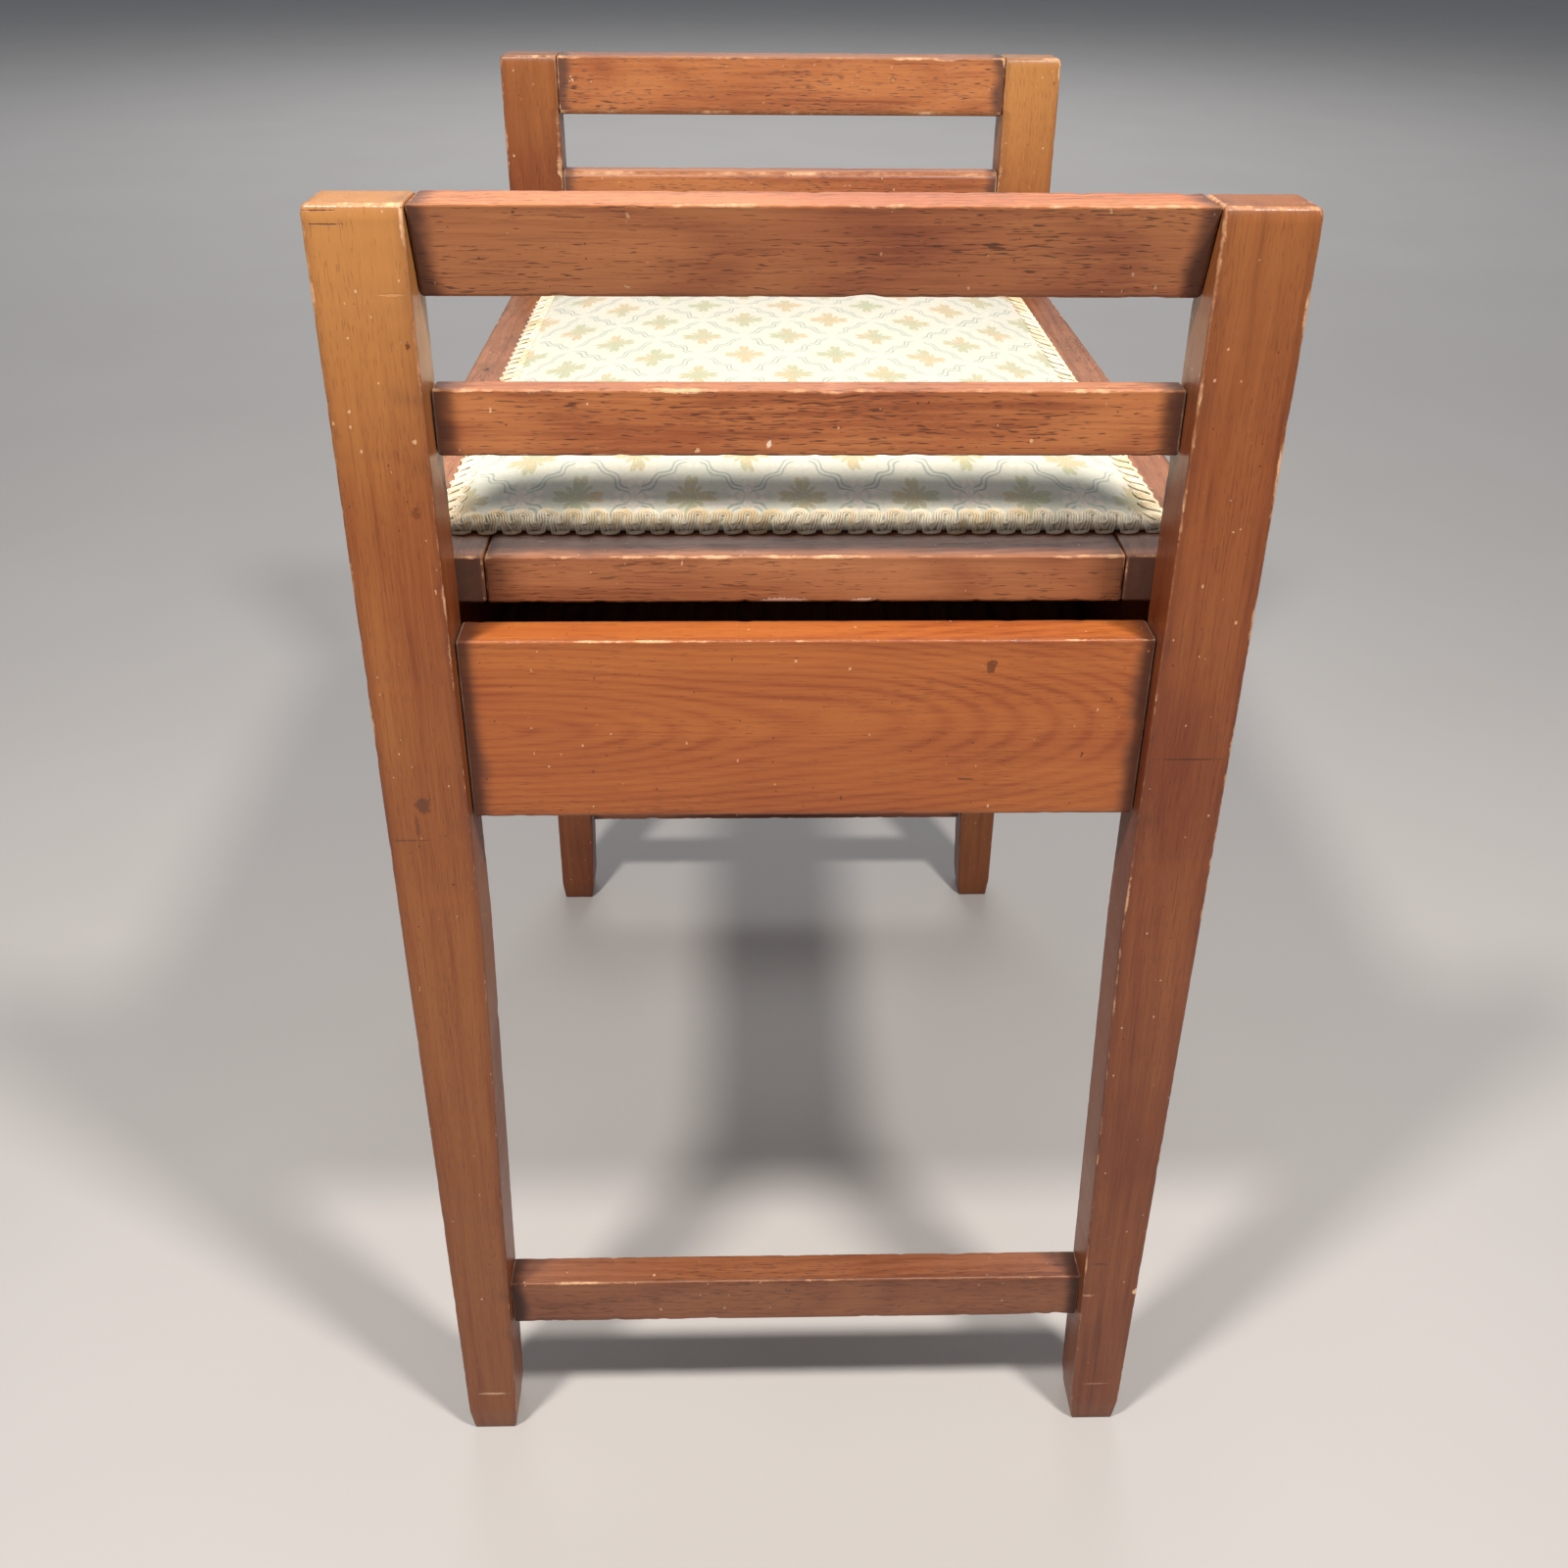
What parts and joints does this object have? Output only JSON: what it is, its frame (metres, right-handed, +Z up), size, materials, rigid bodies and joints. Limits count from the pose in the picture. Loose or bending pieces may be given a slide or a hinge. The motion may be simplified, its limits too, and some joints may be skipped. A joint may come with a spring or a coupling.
{
  "type": "piano bench",
  "caption": "Wooden piano bench with raised slatted ends, tapered legs and a padded, hinged seat that lifts to open a shallow music box.",
  "frame": {"origin": "on the floor under the middle of the bench", "axes": "+X along the bench to its right end, -Y to the front, +Z up; the lid's hinges are at the back, +Y"},
  "size_m": [0.538, 0.354, 0.635],
  "materials": {
    "post_wood": "orange-brown stained mahogany, worn french polish, pale worn arrises",
    "rail_wood": "red-brown stained mahogany, worn french polish",
    "apron_wood": "orange-brown stained wood with cathedral grain, worn french polish",
    "lid_wood": "darker brown stained wood, dull and rubbed",
    "board_wood": "unpolished plywood and softwood",
    "damask": "pale figured damask, soft sheen",
    "stuffing": "hidden stuffing under the cover",
    "gimp": "cream corded gimp braid",
    "hinge_brass": "dull brass",
    "screw_steel": "dull steel"
  },
  "bodies": {
    "frame": {"post_front_left": "post_wood", "post_front_right": "post_wood", "post_back_left": "post_wood", "post_back_right": "post_wood", "top_rail_left": "rail_wood", "mid_rail_left": "rail_wood", "stretcher_left": "rail_wood", "end_apron_left": "apron_wood", "top_rail_right": "rail_wood", "mid_rail_right": "rail_wood", "stretcher_right": "rail_wood", "end_apron_right": "apron_wood", "front_apron": "apron_wood", "back_apron": "apron_wood", "bottom_board": "board_wood", "bottom_fillet_front": "board_wood", "bottom_fillet_back": "board_wood", "bottom_fillet_left": "board_wood", "bottom_fillet_right": "board_wood", "hinge_left_pin": "screw_steel", "hinge_left_frame_leaf": "hinge_brass", "hinge_left_frame_screw_1": "screw_steel", "hinge_left_frame_screw_2": "screw_steel", "hinge_right_pin": "screw_steel", "hinge_right_frame_leaf": "hinge_brass", "hinge_right_frame_screw_1": "screw_steel", "hinge_right_frame_screw_2": "screw_steel"},
    "lid": {"lid_front_rail": "lid_wood", "lid_back_rail": "lid_wood", "lid_left_rail": "lid_wood", "lid_right_rail": "lid_wood", "lid_panel": "board_wood", "seat_padding": "stuffing", "seat_cover": "damask", "gimp_braid": "gimp", "hinge_left_lid_leaf": "hinge_brass", "hinge_left_lid_screw_1": "screw_steel", "hinge_left_lid_screw_2": "screw_steel", "hinge_right_lid_leaf": "hinge_brass", "hinge_right_lid_screw_1": "screw_steel", "hinge_right_lid_screw_2": "screw_steel"}
  },
  "joints": [
    {"name": "lid_hinge", "type": "hinge", "parent": "frame", "child": "lid", "pos_m": [0, 0.171, 0.4705], "axis": [-1, 0, 0], "range_deg": [0, 105]}
  ]
}
